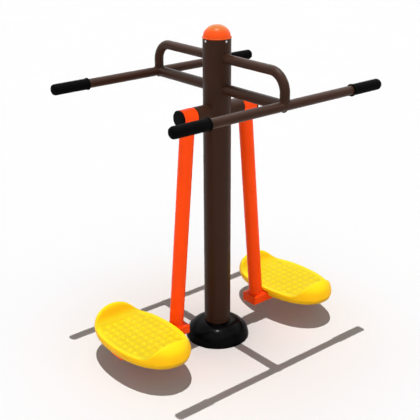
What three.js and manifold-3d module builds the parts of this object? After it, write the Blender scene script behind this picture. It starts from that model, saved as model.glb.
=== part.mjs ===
// Outdoor air walker for two users: one column carries an axle, two hanging arms with standing boards
// that swing sideways, and two long handlebars. Millimetres, +Z up, +X along the axle. The origin is the
// column's centre on the ground. The right-hand arm (+X) and the front handlebar (-Y) are built, and the
// left-hand arm and the back handlebar are the same pieces turned half a turn about the column.
import * as THREE from "three";
import { mergeVertices } from "three/addons/utils/BufferGeometryUtils.js";
import Module from "manifold-3d";

const wasm = await Module();
wasm.setup();

// Clearances: between touching pieces, and how far a cutting tool runs past what it cuts
const gap = 0.3;
const overrun = 5;
const weldTolerance = 1e-4;

// Column
const columnRadius = 57;
const columnWall = 4;
const columnTop = 1322;

// Base flange and its anchor bolts
const flangeMargin = 58;
const flangeThickness = 12;
const drainRadius = 30;
const anchorClearance = 29;
const anchorShankRadius = 8;
const anchorWasherRadius = 16;
const anchorWasherThickness = 3;
const anchorHeadRadius = 13.8;
const anchorHeadHeight = 10;
const anchorCount = 4;

// Base cover
const coverMargin = 24;
const coverHeight = 78;
const coverWall = 3;
const coverFootHeight = 5;
const coverShoulderExponent = 1.8;

// Domed cap and its screws
const capOverhang = 2;
const capRise = 51;
const capBrim = 4;
const capStep = 4;
const capWall = 3;
const capSpigotLength = 30;
const capScrewDrop = 8;
const capScrewRadius = 3;
const capScrewHeadRadius = 4.5;
const capScrewHeadHeight = 3;
const capScrewReach = 4;
const capScrewCount = 4;

// Handlebars and the tubes that carry them
const barRadius = 19;
const barWall = 2.5;
const barDrop = 197;
const barOffset = 385;
const barHalfLength = 523;
const loopRise = 122;
const loopBendRadius = 75;
const crossbarRadius = 22;

// Grips
const gripLength = 166;
const gripWall = 3.2;
const gripEndWall = 5;
const gripEndRounding = 15;
const gripCollarRise = 2.5;
const gripCollarWidth = 5;

// Axle: housing tube, plugs, shaft, seals and nuts
const axleHeight = 1027;
const housingRadius = 35;
const housingWall = 5;
const housingHalfLength = 119;
const plugLength = 18;
const shaftRadius = 15;
const journalRadius = 12.5;
const sealThickness = 2.4;
const sealInset = 2;
const nutRadius = 20;
const nutThickness = 11;
const shaftTail = 2;

// Hub, bearings and hub cap
const hubRadius = 35;
const hubEndRoom = 2.7;
const bearingRadius = 26;
const bearingWidth = 15;
const bearingRecess = 2;
const bearingSpacing = 34;
const hubWebLip = 3;
const spacerWall = 3.5;
const hubCapThickness = 10;
const hubCapPlugLength = 4;
const hubCapPlugWall = 2.5;
const hubCapRounding = 3;

// Swing arm
const armRadius = 30;
const armWall = 3;
const armTopShift = 5;
const armFootOffset = 229.5;

// Foot bar under the board
const footBarOverhang = 11.5;
const footBarSetback = 24;
const footBarWidth = 80;
const footBarDepth = 40;
const footBarTop = 130;
const footBarWall = 3;
const endPlateThickness = 4;

// Mounting plate and board bolts
const plateLength = 180;
const plateWidth = 180;
const plateThickness = 6;
const boltEdge = 25;
const boltRadius = 4;
const boltHeadRadius = 7.5;
const boltHeadHeight = 6;
const boltCover = 3;
const bossRadius = 12;

// Board
const boardSetOff = 1.5;
const boardHalfLength = 261;
const boardHalfWidth = 150;
const skirtDepth = 30;
const widestDepth = 11;
const boardWall = 5;
const boardPlanExponent = 2.15;
const boardDomeRise = 118;
const skirtDraft = 4;
const deckRise = 10.7;
const deckThickness = 6;
const rimRise = 3;
const rimWidth = 7;
const lipDepth = 91;
const lipFillet = 22;
const lipAngle = THREE.MathUtils.degToRad(68);
const notchClearance = 4;

// Facets
const columnSides = 40;
const coverSides = 40;
const coverSteps = 6;
const capSteps = 5;
const barSides = 20;
const bendSteps = 7;
const gripSteps = 3;
const axleSides = 28;
const armSides = 28;
const boardSides = 56;
const domeSteps = 7;
const filletSteps = 5;
const smallSides = 8;
const hexSides = 6;

// Places worked out from the sizes above, from the ground up and from the column outwards
const columnFoot = flangeThickness + gap;
const flangeRadius = columnRadius + flangeMargin;
const anchorCircleRadius = columnRadius + anchorClearance;
const coverRadius = flangeRadius + coverMargin;
const capRadius = columnRadius + capOverhang;
const barHeight = columnTop - barDrop;
const loopHeight = barHeight + loopRise;
const loopSteps = bendSteps + 2;
const gripRadius = barRadius + gap + gripWall;
const gripCollarRadius = gripRadius + gripCollarRise;
const sealRadius = housingRadius - sealInset;
const hubInner = housingHalfLength + gap + sealThickness + gap;
const innerBearingStart = hubInner + bearingRecess;
const outerBearingStart = innerBearingStart + bearingSpacing;
const outerBearingEnd = outerBearingStart + bearingWidth;
const nutStart = outerBearingEnd + gap;
const shaftEnd = nutStart + nutThickness + shaftTail;
const hubOuter = shaftEnd + hubEndRoom;
const hubWebRadius = bearingRadius - hubWebLip;
const armTopOffset = (hubInner + hubOuter) / 2 - armTopShift;
const footBarInner = armFootOffset - armRadius - footBarOverhang;
const boardCentre = armFootOffset + armRadius + boardSetOff + boardHalfWidth;
const footBarOuter = boardCentre + boardHalfWidth - footBarSetback;
const plateTop = footBarTop + gap + plateThickness;
const deckTop = plateTop + deckRise;
const boardWidest = deckTop - widestDepth;
const boardBottom = deckTop - skirtDepth;
const lipFoot = boardHalfLength - lipDepth;
const boardClearAbove = boardWidest + boardDomeRise + overrun;

// Materials, with the colours that the object shows
const finish = (color, roughness, metalness) =>
  new THREE.MeshStandardMaterial({ color, roughness, metalness });

const brownPaint = () => finish(0x3a2822, 0.45, 0.1);
const orangePaint = () => finish(0xff5512, 0.35, 0.1);
const orangePlastic = () => finish(0xf5560f, 0.3, 0);
const yellowPlastic = () => finish(0xfbd81f, 0.4, 0);
const blackPlastic = () => finish(0x101012, 0.4, 0);
const blackRubber = () => finish(0x121214, 0.7, 0);
const bareSteel = () => finish(0x9a9da1, 0.35, 0.9);
const zincSteel = () => finish(0xb4b8bc, 0.4, 0.9);

// Turns a closed three.js geometry into a solid that can be joined and cut.
function solidFrom(geometry) {
  const bare = geometry.index ? geometry.toNonIndexed() : geometry.clone();
  bare.deleteAttribute("normal");
  bare.deleteAttribute("uv");
  const merged = mergeVertices(bare, weldTolerance);
  return new wasm.Manifold(
    new wasm.Mesh({
      numProp: 3,
      vertProperties: merged.attributes.position.array,
      triVerts: new Uint32Array(merged.index.array),
    }),
  );
}

// Turns a solid back into a three.js geometry.
function geometryFrom(solid) {
  const { vertProperties, triVerts } = solid.getMesh();
  const geometry = new THREE.BufferGeometry();
  geometry.setAttribute("position", new THREE.BufferAttribute(vertProperties, 3));
  geometry.setIndex(new THREE.BufferAttribute(triVerts, 1));
  const faceted = geometry.toNonIndexed();
  faceted.computeVertexNormals();
  return faceted;
}

// A named mesh of one solid
function piece(name, solid, material) {
  const mesh = new THREE.Mesh(geometryFrom(solid), material);
  mesh.name = name;
  return mesh;
}

// A round bar along Z from one height to another
function barZ(radius, from, to, sides) {
  const geometry = new THREE.CylinderGeometry(radius, radius, to - from, sides);
  geometry.rotateX(Math.PI / 2);
  geometry.translate(0, 0, (from + to) / 2);
  return geometry;
}

// A round bar along X, centred on Y = 0 and Z = 0
function barX(radius, from, to, sides) {
  return barZ(radius, from, to, sides).rotateY(Math.PI / 2);
}

// A round bar along Y, centred on X = 0 and Z = 0
function barY(radius, from, to, sides) {
  return barZ(radius, from, to, sides).rotateX(-Math.PI / 2);
}

// A rectangular block between two corners
function block(low, high) {
  const size = new THREE.Vector3().subVectors(high, low);
  const middle = new THREE.Vector3().addVectors(low, high).multiplyScalar(1 / 2);
  return new THREE.BoxGeometry(size.x, size.y, size.z).translate(middle.x, middle.y, middle.z);
}

// A body turned about Z from a profile of [radius, height] points
function turned(profile, sides) {
  const points = profile.map(([radius, height]) => new THREE.Vector2(radius, height));
  return new THREE.LatheGeometry(points, sides).rotateX(Math.PI / 2);
}

// A bushing or ring along X: outer radius, inner radius and the two ends
function ringX(outer, inner, from, to, sides) {
  const body = solidFrom(barX(outer, from, to, sides));
  return body.subtract(solidFrom(barX(inner, from - overrun, to + overrun, sides)));
}

// Column: a tube with a cross bore for the axle housing and holes for the cap screws
function columnSolid() {
  const outside = solidFrom(barZ(columnRadius, columnFoot, columnTop, columnSides));
  const bore = barZ(columnRadius - columnWall, columnFoot - overrun, columnTop + overrun, columnSides);
  const reach = columnRadius + overrun;
  const axleBore = barX(housingRadius + gap, -reach, reach, axleSides).translate(0, 0, axleHeight);
  let solid = outside.subtract(solidFrom(bore)).subtract(solidFrom(axleBore));
  for (const hole of capScrewHoles()) solid = solid.subtract(hole);
  return solid;
}

// Clearance holes for the cap screws, through the column and the cap's spigot
function capScrewHoles() {
  return Array.from({ length: capScrewCount }, (_, index) => {
    const from = columnRadius - columnWall - capWall - capScrewReach - overrun;
    const hole = barX(capScrewRadius + gap, from, columnRadius + overrun, smallSides);
    hole.translate(0, 0, columnTop - capScrewDrop);
    hole.rotateZ((index * 2 * Math.PI) / capScrewCount);
    return solidFrom(hole);
  });
}

// Base flange: a round plate with a drain hole and anchor holes
function flangeSolid() {
  let solid = solidFrom(barZ(flangeRadius, 0, flangeThickness, columnSides));
  solid = solid.subtract(solidFrom(barZ(drainRadius, -overrun, flangeThickness + overrun, barSides)));
  for (let index = 0; index < anchorCount; index += 1) {
    const hole = barZ(anchorShankRadius + gap, -overrun, flangeThickness + overrun, smallSides);
    solid = solid.subtract(solidFrom(atAnchor(hole, index)));
  }
  return solid;
}

// Moves a geometry from the column's axis to one anchor's place
function atAnchor(geometry, index) {
  const angle = ((index + 1 / 2) * 2 * Math.PI) / anchorCount;
  return geometry.translate(anchorCircleRadius * Math.cos(angle), anchorCircleRadius * Math.sin(angle), 0);
}

// Anchor bolt: shank, washer and hexagon head in one piece, cut off at the ground
function anchorBoltSolid(index) {
  const seat = flangeThickness + gap;
  const washerTop = seat + anchorWasherThickness;
  const shank = barZ(anchorShankRadius, gap, washerTop, smallSides);
  const washer = barZ(anchorWasherRadius, seat, washerTop, smallSides);
  const head = barZ(anchorHeadRadius, seat, washerTop + anchorHeadHeight, hexSides);
  return [shank, washer, head]
    .map((geometry) => solidFrom(atAnchor(geometry, index)))
    .reduce((joined, solid) => joined.add(solid));
}

// Points of the cover's shoulder, a quarter of a superellipse from its foot to the column
function coverShoulder(foot, top) {
  const neck = columnRadius + gap;
  const rise = top - coverFootHeight;
  return Array.from({ length: coverSteps + 1 }, (_, step) => {
    const angle = (step / coverSteps) * (Math.PI / 2);
    const outwards = Math.cos(angle) ** (2 / coverShoulderExponent);
    const upwards = Math.sin(angle) ** (2 / coverShoulderExponent);
    return [neck + (foot - neck) * outwards, coverFootHeight + rise * upwards];
  });
}

// Base cover: a thin domed shell that stands on the ground round the flange
function coverSolid() {
  const outside = coverShoulder(coverRadius, coverHeight);
  const inside = coverShoulder(coverRadius - coverWall, coverHeight - coverWall);
  const profile = [
    [coverRadius - coverWall, gap],
    [coverRadius, gap],
    ...outside,
    ...inside.reverse(),
    [coverRadius - coverWall, gap],
  ];
  return solidFrom(turned(profile, coverSides));
}

// Points of the cap's dome, from its foot on the brim to the apex
function capDome(radius, foot, apex) {
  return Array.from({ length: capSteps + 1 }, (_, step) => {
    const angle = (step / capSteps) * (Math.PI / 2);
    const across = step === capSteps ? 0 : radius * Math.cos(angle);
    return [across, foot + (apex - foot) * Math.sin(angle)];
  });
}

// Domed cap: a shell with a brim that covers the column's edge and a spigot inside it
function capSolid() {
  const seat = columnTop + gap;
  const apex = seat + capRise;
  const spigotRadius = columnRadius - columnWall - gap;
  const profile = [
    [spigotRadius - capWall, seat - capSpigotLength],
    [spigotRadius, seat - capSpigotLength],
    [spigotRadius, seat],
    [capRadius, seat],
    [capRadius, seat + capBrim],
    ...capDome(capRadius - capStep, seat + capBrim, apex),
    ...capDome(spigotRadius - capWall, seat + capBrim, apex - capWall).reverse(),
    [spigotRadius - capWall, seat - capSpigotLength],
  ];
  let solid = solidFrom(turned(profile, columnSides));
  for (const hole of capScrewHoles()) solid = solid.subtract(hole);
  return solid;
}

// Cap screw: a round head on the column's wall and a shank into the cap's spigot
function capScrewSolid(index) {
  const seat = columnRadius + gap;
  const tip = columnRadius - columnWall - capWall - capScrewReach;
  const shank = barX(capScrewRadius, tip, seat + capScrewHeadHeight, smallSides);
  const head = barX(capScrewHeadRadius, seat, seat + capScrewHeadHeight, smallSides);
  return [shank, head]
    .map((geometry) => {
      geometry.translate(0, 0, columnTop - capScrewDrop);
      return solidFrom(geometry.rotateZ((index * 2 * Math.PI) / capScrewCount));
    })
    .reduce((joined, solid) => joined.add(solid));
}

// A cutter with the column's outline, a gap larger
function columnCutter() {
  return solidFrom(barZ(columnRadius + gap, 0, columnTop, columnSides));
}

// A cutter with the front handlebar's outline, a gap larger
function handlebarCutter() {
  const cutter = barX(barRadius + gap, -barHalfLength, barHalfLength, barSides);
  return solidFrom(cutter.translate(0, -barOffset, barHeight));
}

// Handlebar: a straight open tube along X
function handlebarSolid() {
  const solid = ringX(barRadius, barRadius - barWall, -barHalfLength, barHalfLength, barSides);
  return solid.translate([0, -barOffset, barHeight]);
}

// A round section for the bent tube
function roundSection(radius) {
  const corners = Array.from({ length: barSides }, (_, side) => {
    const angle = (side * 2 * Math.PI) / barSides;
    return new THREE.Vector2(radius * Math.cos(angle), radius * Math.sin(angle));
  });
  return new THREE.Shape(corners);
}

// The loop tube's path in the plane X = 0: level from the column's axis, round the bend and down to
// the handlebar. Its first and last steps are the straight lengths, and the steps between are the bend.
class LoopPath extends THREE.Curve {
  turnAt(share) {
    const step = share * loopSteps - 1;
    return (THREE.MathUtils.clamp(step / bendSteps, 0, 1) * Math.PI) / 2;
  }

  getPoint(share, target = new THREE.Vector3()) {
    const angle = this.turnAt(share);
    const bendStart = barOffset - loopBendRadius;
    const bendEnd = loopHeight - loopBendRadius;
    const levelShare = Math.min(share * loopSteps, 1);
    const legShare = Math.max(share * loopSteps - bendSteps - 1, 0);
    const across = levelShare * bendStart + loopBendRadius * Math.sin(angle);
    const height = bendEnd + loopBendRadius * Math.cos(angle);
    return target.set(0, -across, height + legShare * (barHeight - bendEnd));
  }

  getTangent(share, target = new THREE.Vector3()) {
    const angle = this.turnAt(share);
    return target.set(0, -Math.cos(angle), -Math.sin(angle));
  }

  getPointAt(share, target) {
    return this.getPoint(share, target);
  }

  getTangentAt(share, target) {
    return this.getTangent(share, target);
  }
}

// The loop tube's full round form at one radius
function loopForm(radius) {
  const shape = roundSection(radius);
  const settings = { steps: loopSteps, extrudePath: new LoopPath(), bevelEnabled: false };
  return solidFrom(new THREE.ExtrudeGeometry(shape, settings));
}

// Loop tube: leaves the column, bends down and stands on the handlebar
function loopTubeSolid() {
  const hollow = loopForm(barRadius).subtract(loopForm(barRadius - barWall));
  return largest(hollow.subtract(columnCutter()).subtract(handlebarCutter()));
}

// Crossbar: a straight tube from the column to the handlebar, mitred under the leg
function crossbarSolid() {
  const bore = crossbarRadius - barWall;
  const outside = solidFrom(barY(crossbarRadius, -barOffset, 0, barSides));
  const inside = solidFrom(barY(bore, -barOffset - overrun, overrun, barSides));
  const leg = barZ(barRadius + gap, barHeight, loopHeight, barSides).translate(0, -barOffset, 0);
  const tube = outside.subtract(inside).translate([0, 0, barHeight]);
  return largest(tube.subtract(columnCutter()).subtract(handlebarCutter()).subtract(solidFrom(leg)));
}

// The largest of a solid's separate bodies: what a mitre leaves of a tube
function largest(solid) {
  return solid.decompose().reduce((best, body) => (body.volume() > best.volume() ? body : best));
}

// Grip: a closed sleeve with a collar and a rounded end, over the right end of a handlebar
function gripSolid() {
  const tip = barHalfLength + gap + gripEndWall;
  const start = tip - gripLength;
  const inner = barRadius + gap;
  const rounding = Array.from({ length: gripSteps + 1 }, (_, step) => {
    const angle = (step / gripSteps) * (Math.PI / 2);
    const radius = gripRadius - gripEndRounding * (1 - Math.cos(angle));
    return [radius, tip - gripEndRounding * (1 - Math.sin(angle))];
  });
  const profile = [
    [0, barHalfLength + gap],
    [inner, barHalfLength + gap],
    [inner, start],
    [gripCollarRadius, start],
    [gripCollarRadius, start + gripCollarWidth],
    [gripRadius, start + gripCollarWidth],
    ...rounding,
    [0, tip],
  ];
  return solidFrom(turned(profile, barSides).rotateY(Math.PI / 2));
}

// Axle housing: the fixed tube through the column
function housingSolid() {
  const inner = housingRadius - housingWall;
  const tube = ringX(housingRadius, inner, -housingHalfLength, housingHalfLength, axleSides);
  return tube.translate([0, 0, axleHeight]);
}

// Housing plug: a steel ring that centres the shaft in the end of the housing
function plugSolid() {
  const outer = housingRadius - housingWall - gap;
  const plug = ringX(outer, shaftRadius + gap, housingHalfLength - plugLength, housingHalfLength, axleSides);
  return plug.translate([0, 0, axleHeight]);
}

// Shaft: thick through the housing, with a thinner journal at each end
function shaftSolid() {
  const shoulder = innerBearingStart - gap;
  const middle = solidFrom(barX(shaftRadius, -shoulder, shoulder, axleSides));
  const journals = solidFrom(barX(journalRadius, -shaftEnd, shaftEnd, axleSides));
  return middle.add(journals).translate([0, 0, axleHeight]);
}

// Seal ring: a rubber ring between the housing and the hub
function sealSolid() {
  const from = housingHalfLength + gap;
  const ring = ringX(sealRadius, shaftRadius + gap, from, from + sealThickness, axleSides);
  return ring.translate([0, 0, axleHeight]);
}

// Bearing spacer: a sleeve on the shaft between the two bearings
function spacerSolid() {
  const from = innerBearingStart + bearingWidth + gap;
  const to = outerBearingStart - gap;
  const outer = journalRadius + gap + spacerWall;
  return ringX(outer, journalRadius + gap, from, to, axleSides).translate([0, 0, axleHeight]);
}

// Shaft nut: a hexagon nut that holds the outer bearing
function nutSolid() {
  const body = solidFrom(barX(nutRadius, nutStart, nutStart + nutThickness, hexSides));
  const bore = barX(journalRadius + gap, nutStart - overrun, nutStart + nutThickness + overrun, axleSides);
  return body.subtract(solidFrom(bore)).translate([0, 0, axleHeight]);
}

// Hub: the swinging tube, bored for two bearings with a web between them
function hubSolid() {
  const seat = bearingRadius + gap;
  const webStart = innerBearingStart + bearingWidth + gap;
  const webEnd = outerBearingStart - gap;
  const body = solidFrom(barX(hubRadius, hubInner, hubOuter, axleSides));
  const innerSeat = barX(seat, hubInner - overrun, webStart, axleSides);
  const outerSeat = barX(seat, webEnd, hubOuter + overrun, axleSides);
  const web = barX(hubWebRadius, hubInner - overrun, hubOuter + overrun, axleSides);
  return [innerSeat, outerSeat, web]
    .reduce((solid, cutter) => solid.subtract(solidFrom(cutter)), body)
    .translate([0, 0, axleHeight]);
}

// Bearing: one closed ring on the shaft
function bearingSolid(start) {
  const ring = ringX(bearingRadius, journalRadius + gap, start, start + bearingWidth, axleSides);
  return ring.translate([0, 0, axleHeight]);
}

// Hub cap: a disc over the hub's end with a thin spigot inside it
function hubCapSolid() {
  const seat = hubOuter + gap;
  const outer = bearingRadius;
  const face = seat + hubCapThickness;
  const profile = [
    [0, seat],
    [outer - hubCapPlugWall, seat],
    [outer - hubCapPlugWall, seat - hubCapPlugLength],
    [outer, seat - hubCapPlugLength],
    [outer, seat],
    [hubRadius, seat],
    [hubRadius, face - hubCapRounding],
    [hubRadius - hubCapRounding, face],
    [0, face],
  ];
  return solidFrom(turned(profile, axleSides).rotateY(Math.PI / 2)).translate([0, 0, axleHeight]);
}

// Arm: a leaning tube, coped to the hub above and cut level on the foot bar below
function armSolid() {
  const foot = footBarTop + gap;
  const drop = axleHeight - foot;
  const lean = Math.atan2(armFootOffset - armTopOffset, drop);
  const length = Math.hypot(armFootOffset - armTopOffset, drop);
  const place = (geometry) => solidFrom(geometry.rotateY(-lean).translate(armTopOffset, 0, axleHeight));
  const outside = place(barZ(armRadius, -length - armRadius, 0, armSides));
  const inside = place(barZ(armRadius - armWall, -length - armRadius - overrun, overrun, armSides));
  const hub = barX(hubRadius + gap, 0, hubOuter + armRadius, axleSides).translate(0, 0, axleHeight);
  const reach = armFootOffset + 2 * armRadius;
  const floor = block(
    new THREE.Vector3(0, -2 * armRadius, foot - 2 * armRadius),
    new THREE.Vector3(reach, 2 * armRadius, foot),
  );
  return largest(outside.subtract(inside).subtract(solidFrom(hub)).subtract(solidFrom(floor)));
}

// A block as wide and deep as the foot bar, less an inset all round
function footBarForm(from, to, inset) {
  const half = footBarWidth / 2 - inset;
  const low = new THREE.Vector3(from, -half, footBarTop - footBarDepth + inset);
  return solidFrom(block(low, new THREE.Vector3(to, half, footBarTop - inset)));
}

// Foot bar: a rectangular tube that carries the board
function footBarSolid() {
  const from = footBarInner + endPlateThickness + gap;
  const to = footBarOuter - endPlateThickness - gap;
  const hollow = footBarForm(from - overrun, to + overrun, footBarWall);
  return footBarForm(from, to, 0).subtract(hollow);
}

// Places of the board's bolts, counted from the board's centre
function boltPlaces() {
  const halfX = plateLength / 2 - boltEdge;
  const halfY = plateWidth / 2 - boltEdge;
  return [
    [halfX, halfY],
    [-halfX, halfY],
    [-halfX, -halfY],
    [halfX, -halfY],
  ];
}

// Mounting plate: a flat plate on the foot bar with four bolt holes
function plateSolid() {
  const low = new THREE.Vector3(boardCentre - plateLength / 2, -plateWidth / 2, footBarTop + gap);
  const high = new THREE.Vector3(boardCentre + plateLength / 2, plateWidth / 2, plateTop);
  let solid = solidFrom(block(low, high));
  for (const [x, y] of boltPlaces()) {
    const hole = barZ(boltRadius + gap, footBarTop - overrun, plateTop + overrun, smallSides);
    solid = solid.subtract(solidFrom(hole.translate(boardCentre + x, y, 0)));
  }
  return solid;
}

// Board bolt: its head under the plate and its shank up into the board's boss
function boltSolid([x, y]) {
  const seat = footBarTop;
  const head = barZ(boltHeadRadius, seat - boltHeadHeight, seat, hexSides);
  const shank = barZ(boltRadius, seat - boltHeadHeight, deckTop - boltCover - gap, smallSides);
  return [head, shank]
    .map((geometry) => solidFrom(geometry.translate(boardCentre + x, y, 0)))
    .reduce((joined, solid) => joined.add(solid));
}

// An upright oval body from a profile of [share of the plan, height] points, less an inset in the plan.
// The plan is a superellipse: its exponent makes the ends a little fuller than an ellipse's.
function ovalBody(profile, inset) {
  const body = turned(profile, boardSides);
  const points = body.attributes.position;
  for (let index = 0; index < points.count; index += 1) {
    const x = points.getX(index);
    const y = points.getY(index);
    const reach = Math.hypot(x, y);
    const power = Math.abs(x) ** boardPlanExponent + Math.abs(y) ** boardPlanExponent;
    const fuller = reach > 0 ? reach / power ** (1 / boardPlanExponent) : 1;
    points.setXY(index, x * fuller * (boardHalfWidth - inset), y * fuller * (boardHalfLength - inset));
  }
  return solidFrom(body);
}

// The board's oval outer form: a drafted skirt below the widest line and a dome above it
function boardForm(inset) {
  const bottom = inset > 0 ? boardBottom - overrun : boardBottom;
  const rise = boardDomeRise - inset;
  const skirtShare = 1 - skirtDraft / boardHalfWidth;
  const dome = Array.from({ length: domeSteps + 1 }, (_, step) => {
    const angle = (step / domeSteps) * (Math.PI / 2);
    return [step === domeSteps ? 0 : Math.cos(angle), boardWidest + rise * Math.sin(angle)];
  });
  return ovalBody([[0, bottom], [skirtShare, bottom], ...dome], inset);
}

// The hollow over the deck, between the two raised lips, grown by a depth and as wide as the board
function scoop(depth) {
  const radius = lipFillet + depth;
  const centre = deckTop + lipFillet;
  const fillet = Array.from({ length: filletSteps + 1 }, (_, step) => {
    const angle = (step / filletSteps) * lipAngle;
    return [lipFoot + radius * Math.sin(angle), centre - radius * Math.cos(angle)];
  });
  const [lastAcross, lastHeight] = fillet[filletSteps];
  const top = boardClearAbove;
  const half = [...fillet, [lastAcross + (top - lastHeight) / Math.tan(lipAngle), top]];
  const mirrored = half.map(([across, height]) => [-across, height]).reverse();
  const outline = [...half, ...mirrored].map(([across, height]) => new THREE.Vector2(across, height));
  const width = 2 * (boardHalfWidth + overrun);
  const body = new THREE.ExtrudeGeometry(new THREE.Shape(outline), { depth: width, bevelEnabled: false });
  body.translate(0, 0, -width / 2);
  return solidFrom(body.rotateX(Math.PI / 2).rotateZ(Math.PI / 2));
}

// Board: a moulded oval shell with a sunk deck, a raised lip at each end, four bosses and a notch
function boardSolid() {
  const deckProfile = [[0, boardBottom], [1, boardBottom], [1, boardClearAbove], [0, boardClearAbove]];
  const deckOutline = ovalBody(deckProfile, rimWidth);
  const hollow = boardForm(boardWall).subtract(scoop(deckThickness));
  let solid = boardForm(0).subtract(scoop(-rimRise)).subtract(scoop(0).intersect(deckOutline));
  solid = solid.subtract(hollow);
  for (const [x, y] of boltPlaces()) {
    const boss = barZ(bossRadius, plateTop + gap, deckTop - deckThickness / 2, barSides);
    const bore = barZ(boltRadius + gap, plateTop - overrun, deckTop - boltCover, smallSides);
    solid = solid.add(solidFrom(boss.translate(x, y, 0)));
    solid = solid.subtract(solidFrom(bore.translate(x, y, 0)));
  }
  const notchHalf = footBarWidth / 2 + notchClearance;
  const notchEnd = boardWall + skirtDraft + notchClearance - boardHalfWidth;
  const notch = block(
    new THREE.Vector3(-boardHalfWidth - overrun, -notchHalf, boardBottom - overrun),
    new THREE.Vector3(notchEnd, notchHalf, footBarTop + notchClearance),
  );
  return solid.subtract(solidFrom(notch)).translate([boardCentre, 0, 0]);
}

// The pieces of one side's fixed axle fittings, built for the right side
function axleFittings(side) {
  return [
    piece(side + "_housing_plug", plugSolid(), bareSteel()),
    piece(side + "_seal_ring", sealSolid(), blackRubber()),
    piece(side + "_bearing_spacer", spacerSolid(), bareSteel()),
    piece(side + "_shaft_nut", nutSolid(), zincSteel()),
  ];
}

// The pieces of one swinging arm, built for the right side
function swingPieces(side) {
  const innerPlate = footBarForm(footBarInner, footBarInner + endPlateThickness, 0);
  const outerPlate = footBarForm(footBarOuter - endPlateThickness, footBarOuter, 0);
  return [
    piece(side + "_hub", hubSolid(), orangePaint()),
    piece(side + "_inner_bearing", bearingSolid(innerBearingStart), bareSteel()),
    piece(side + "_outer_bearing", bearingSolid(outerBearingStart), bareSteel()),
    piece(side + "_hub_cap", hubCapSolid(), blackPlastic()),
    piece(side + "_arm", armSolid(), orangePaint()),
    piece(side + "_foot_bar", footBarSolid(), orangePaint()),
    piece(side + "_inner_end_plate", innerPlate, orangePaint()),
    piece(side + "_outer_end_plate", outerPlate, orangePaint()),
    piece(side + "_board_plate", plateSolid(), orangePaint()),
    piece(side + "_board", boardSolid(), yellowPlastic()),
    ...boltPlaces().map((place, index) =>
      piece(`${side}_board_bolt_${index + 1}`, boltSolid(place), zincSteel()),
    ),
  ];
}

// The pieces of one handlebar with its tubes and grips, built for the front
function handlebarPieces(end, rightSide, leftSide) {
  const grip = gripSolid().translate([0, -barOffset, barHeight]);
  const otherGrip = gripSolid().rotate([0, 0, 180]).translate([0, -barOffset, barHeight]);
  return [
    piece(end + "_handlebar", handlebarSolid(), brownPaint()),
    piece(end + "_loop_tube", loopTubeSolid(), brownPaint()),
    piece(end + "_crossbar", crossbarSolid(), brownPaint()),
    piece(`${end}_${rightSide}_grip`, grip, blackRubber()),
    piece(`${end}_${leftSide}_grip`, otherGrip, blackRubber()),
  ];
}

// The pieces that stand on the column's own axis
function columnPieces() {
  const anchors = Array.from({ length: anchorCount }, (_, index) =>
    piece("anchor_bolt_" + (index + 1), anchorBoltSolid(index), zincSteel()),
  );
  const screws = Array.from({ length: capScrewCount }, (_, index) =>
    piece("cap_screw_" + (index + 1), capScrewSolid(index), zincSteel()),
  );
  return [
    piece("column", columnSolid(), brownPaint()),
    piece("base_flange", flangeSolid(), brownPaint()),
    piece("base_cover", coverSolid(), blackPlastic()),
    piece("column_cap", capSolid(), orangePlastic()),
    piece("axle_housing", housingSolid(), brownPaint()),
    piece("axle_shaft", shaftSolid(), bareSteel()),
    ...anchors,
    ...screws,
  ];
}

// A group of pieces, turned half a turn about the column where asked
function grouped(pieces, turnedRound) {
  const group = new THREE.Group();
  group.add(...pieces);
  if (turnedRound) group.rotation.z = Math.PI;
  return group;
}

const airWalker = new THREE.Group();
airWalker.add(grouped(columnPieces(), false));
airWalker.add(grouped(handlebarPieces("front", "right", "left"), false));
airWalker.add(grouped(handlebarPieces("back", "left", "right"), true));
airWalker.add(grouped([...axleFittings("right"), ...swingPieces("right")], false));
airWalker.add(grouped([...axleFittings("left"), ...swingPieces("left")], true));

export default airWalker;
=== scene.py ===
import math

import bmesh
import bpy
from mathutils import Matrix, Vector


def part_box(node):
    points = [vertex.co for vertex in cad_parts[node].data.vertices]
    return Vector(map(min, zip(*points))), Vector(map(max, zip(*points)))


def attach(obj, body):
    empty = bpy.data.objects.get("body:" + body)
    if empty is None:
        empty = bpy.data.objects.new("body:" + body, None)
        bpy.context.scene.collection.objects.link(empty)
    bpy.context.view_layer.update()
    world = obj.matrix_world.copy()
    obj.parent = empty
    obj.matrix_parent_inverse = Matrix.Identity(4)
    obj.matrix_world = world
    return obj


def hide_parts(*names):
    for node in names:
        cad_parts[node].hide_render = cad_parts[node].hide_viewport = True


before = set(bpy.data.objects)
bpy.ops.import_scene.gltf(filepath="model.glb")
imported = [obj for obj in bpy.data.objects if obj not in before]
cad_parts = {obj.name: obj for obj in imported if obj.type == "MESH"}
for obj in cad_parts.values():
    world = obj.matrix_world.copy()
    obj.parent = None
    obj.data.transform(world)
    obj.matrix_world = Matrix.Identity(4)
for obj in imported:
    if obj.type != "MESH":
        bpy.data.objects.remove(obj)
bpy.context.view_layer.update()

# Looks of the outdoor air walker: smooth tubes with welds, moulded boards with a studded deck, rubber grips,
# plastic covers and their finishes. Metres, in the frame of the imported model. What faces -Y is the front.

scene = bpy.context.scene
X, Y, Z = 0, 1, 2
X_AXIS = Vector((1, 0, 0))
Y_AXIS = Vector((0, 1, 0))
Z_AXIS = Vector((0, 0, 1))
AS_BUILT = Matrix.Identity(4)
HALF_TURN = Matrix.Rotation(math.pi, 4, "Z")
Z_TO_X = Matrix.Rotation(math.pi / 2, 4, "Y")
MM = 0.001


# Sizes read from the frame

def half_span(node, axis):
    low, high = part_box(node)
    return (high[axis] - low[axis]) / 2


def middle(node, axis):
    low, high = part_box(node)
    return (high[axis] + low[axis]) / 2


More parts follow.
